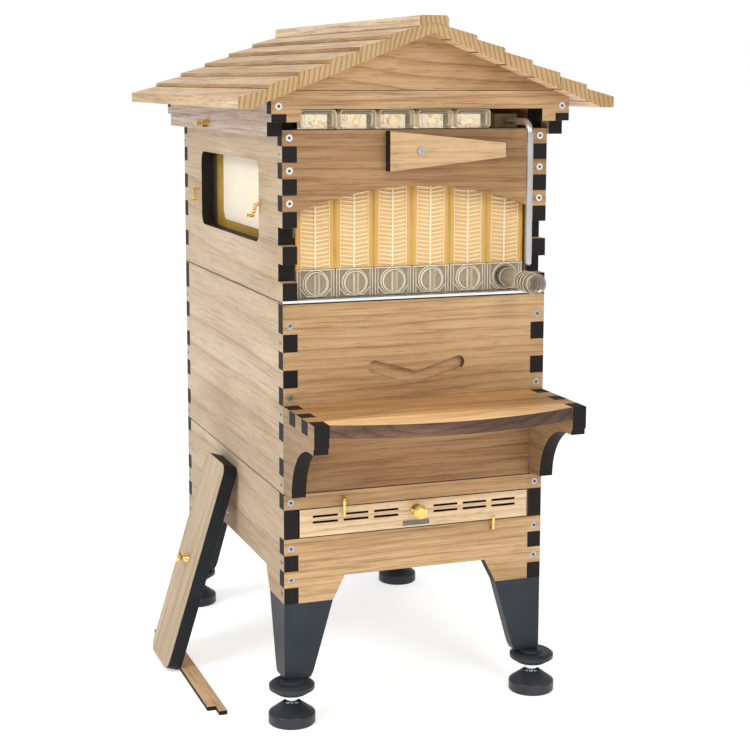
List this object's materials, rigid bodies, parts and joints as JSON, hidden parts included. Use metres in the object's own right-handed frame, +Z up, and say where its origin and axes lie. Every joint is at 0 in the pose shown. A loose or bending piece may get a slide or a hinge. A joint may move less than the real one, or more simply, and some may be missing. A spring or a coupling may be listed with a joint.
{
  "type": "beehive",
  "caption": "Timber beehive of two finger-jointed boxes on a legged stand, with a gabled roof, side windows, a rear harvest opening with a drain tube and turning key, and a bracketed shelf.",
  "frame": {"origin": "on the ground under the middle of the two boxes", "axes": "+Z up, -Y towards the harvest side with the shelf, +Y towards the entrance, -X towards the side with the open window and the leaning cover"},
  "size_m": [0.5287, 0.711, 0.889],
  "materials": {
    "timber_end": "oiled timber of the end panels, straight grain, satin",
    "timber_side": "paler oiled timber of the side panels, straight grain, satin",
    "timber_light": "pale timber, satin",
    "timber_shelf": "warm oiled timber, satin",
    "leg_black": "slate black paint, satin",
    "foot_black": "black moulded, satin",
    "brass": "polished",
    "steel": "bright",
    "galvanised": "galvanised sheet and wire",
    "clear": "clear plastic",
    "pane": "clear acrylic sheet",
    "comb": "cream comb with gold edges, satin",
    "wax": "beeswax foundation"
  },
  "bodies": {
    "stand": {"base_side_left": "timber_side", "base_side_right": "timber_side", "base_panel_rear": "timber_end", "base_panel_front": "timber_end", "landing_board": "timber_end", "floor_mesh": "galvanised", "legs": "leg_black", "ant_guards": "foot_black", "brood_side_left": "timber_side", "brood_side_right": "timber_side", "brood_panel_rear": "timber_end", "brood_panel_front": "timber_end", "brood_frames": "timber_light", "foundation_sheets": "wax", "stand_screws": "steel", "shelf_board": "timber_shelf", "bracket_left": "timber_side", "bracket_right": "timber_side"},
    "foot_rear_left": {"foot_rear_left": "foot_black"},
    "foot_rear_right": {"foot_rear_right": "foot_black"},
    "foot_front_left": {"foot_front_left": "foot_black"},
    "foot_front_right": {"foot_front_right": "foot_black"},
    "tray": {"tray_front": "timber_light", "tray_pan": "galvanised", "tray_fittings": "brass"},
    "tray_hook_left": {"tray_hook_left": "brass"},
    "tray_hook_right": {"tray_hook_right": "brass"},
    "excluder": {"queen_excluder": "galvanised"},
    "honey_box": {"honey_side_left": "timber_side", "honey_side_right": "timber_side", "honey_panel_rear": "timber_end", "honey_panel_front": "timber_end", "window_panes": "pane", "frame_troughs": "clear", "combs": "comb", "honey_screws": "steel"},
    "latch_board": {"latch_board": "timber_end"},
    "harvest_key": {"harvest_key": "steel"},
    "honey_tube": {"honey_tube": "clear"},
    "tube_caps": {"tube_caps": "clear"},
    "key_caps": {"key_caps": "clear"},
    "window_hook_1": {"window_hook_1": "brass"},
    "window_hook_2": {"window_hook_2": "brass"},
    "window_hook_3": {"window_hook_3": "brass"},
    "window_hook_4": {"window_hook_4": "brass"},
    "right_cover": {"right_cover": "timber_side", "right_cover_knob": "brass"},
    "inner_cover": {"inner_cover": "timber_light"},
    "roof": {"roof_rails": "timber_side", "roof_gables": "timber_end", "roof_cleats": "timber_light", "roof_boards_left": "timber_side", "roof_boards_right": "timber_side", "ridge_cap": "timber_end", "roof_screws": "steel"},
    "left_cover": {"left_cover": "timber_side", "left_cover_knob": "brass"},
    "cover_strip": {"cover_strip": "timber_shelf"}
  },
  "joints": [
    {"name": "excluder_lift", "type": "slide", "parent": "stand", "child": "excluder", "axis": [0, 0, 1], "range_m": [0, 0.05]},
    {"name": "honey_box_lift", "type": "slide", "parent": "excluder", "child": "honey_box", "axis": [0, 0, 1], "range_m": [0, 0.25]},
    {"name": "inner_cover_lift", "type": "slide", "parent": "honey_box", "child": "inner_cover", "axis": [0, 0, 1], "range_m": [0, 0.1]},
    {"name": "roof_lift", "type": "slide", "parent": "inner_cover", "child": "roof", "axis": [0, 0, 1], "range_m": [0, 0.3]},
    {"name": "latch_turn", "type": "hinge", "parent": "honey_box", "child": "latch_board", "pos_m": [-0.004, -0.264, 0.724], "axis": [0, 1, 0], "range_deg": [0, 90]},
    {"name": "key_turn", "type": "hinge", "parent": "honey_box", "child": "harvest_key", "pos_m": [0.129, -0.234, 0.76], "axis": [0, -1, 0], "range_deg": [0, 90]},
    {"name": "tube_pull", "type": "slide", "parent": "honey_box", "child": "honey_tube", "axis": [0, -1, 0], "range_m": [0, 0.08]},
    {"name": "tube_caps_pull", "type": "slide", "parent": "honey_box", "child": "tube_caps", "axis": [0, -1, 0], "range_m": [0, 0.04]},
    {"name": "key_caps_pull", "type": "slide", "parent": "honey_box", "child": "key_caps", "axis": [0, -1, 0], "range_m": [0, 0.05]},
    {"name": "window_hook_1_turn", "type": "hinge", "parent": "honey_box", "child": "window_hook_1", "pos_m": [-0.1778, -0.158, 0.654], "axis": [1, 0, 0], "range_deg": [-40, 50]},
    {"name": "window_hook_2_turn", "type": "hinge", "parent": "honey_box", "child": "window_hook_2", "pos_m": [-0.1778, 0.172, 0.654], "axis": [-1, 0, 0], "range_deg": [-40, 50]},
    {"name": "window_hook_3_turn", "type": "hinge", "parent": "honey_box", "child": "window_hook_3", "pos_m": [0.1778, -0.158, 0.654], "axis": [1, 0, 0], "range_deg": [0, 90]},
    {"name": "window_hook_4_turn", "type": "hinge", "parent": "honey_box", "child": "window_hook_4", "pos_m": [0.1778, 0.172, 0.654], "axis": [-1, 0, 0], "range_deg": [0, 90]},
    {"name": "right_cover_pull", "type": "slide", "parent": "honey_box", "child": "right_cover", "axis": [1, 0, 0], "range_m": [0, 0.08]},
    {"name": "tray_pull", "type": "slide", "parent": "stand", "child": "tray", "axis": [0, -1, 0], "range_m": [0, 0.42]},
    {"name": "tray_hook_left_turn", "type": "hinge", "parent": "stand", "child": "tray_hook_left", "pos_m": [-0.1, -0.254, 0.288], "axis": [0, 1, 0], "range_deg": [0, 90]},
    {"name": "tray_hook_right_turn", "type": "hinge", "parent": "stand", "child": "tray_hook_right", "pos_m": [0.106, -0.254, 0.228], "axis": [0, 1, 0], "range_deg": [0, 90]},
    {"name": "left_cover_lift", "type": "slide", "parent": "stand", "child": "left_cover", "axis": [0, 0, 1], "range_m": [0, 0.3]},
    {"name": "cover_strip_pull", "type": "slide", "parent": "stand", "child": "cover_strip", "axis": [0, -1, 0], "range_m": [0, 0.3]},
    {"name": "foot_rear_left_turn", "type": "hinge", "parent": "stand", "child": "foot_rear_left", "pos_m": [-0.168, -0.253, 0.036], "axis": [0, 0, 1], "continuous": true},
    {"name": "foot_rear_right_turn", "type": "hinge", "parent": "stand", "child": "foot_rear_right", "pos_m": [0.168, -0.253, 0.036], "axis": [0, 0, 1], "continuous": true},
    {"name": "foot_front_left_turn", "type": "hinge", "parent": "stand", "child": "foot_front_left", "pos_m": [-0.168, 0.253, 0.036], "axis": [0, 0, 1], "continuous": true},
    {"name": "foot_front_right_turn", "type": "hinge", "parent": "stand", "child": "foot_front_right", "pos_m": [0.168, 0.253, 0.036], "axis": [0, 0, 1], "continuous": true}
  ]
}
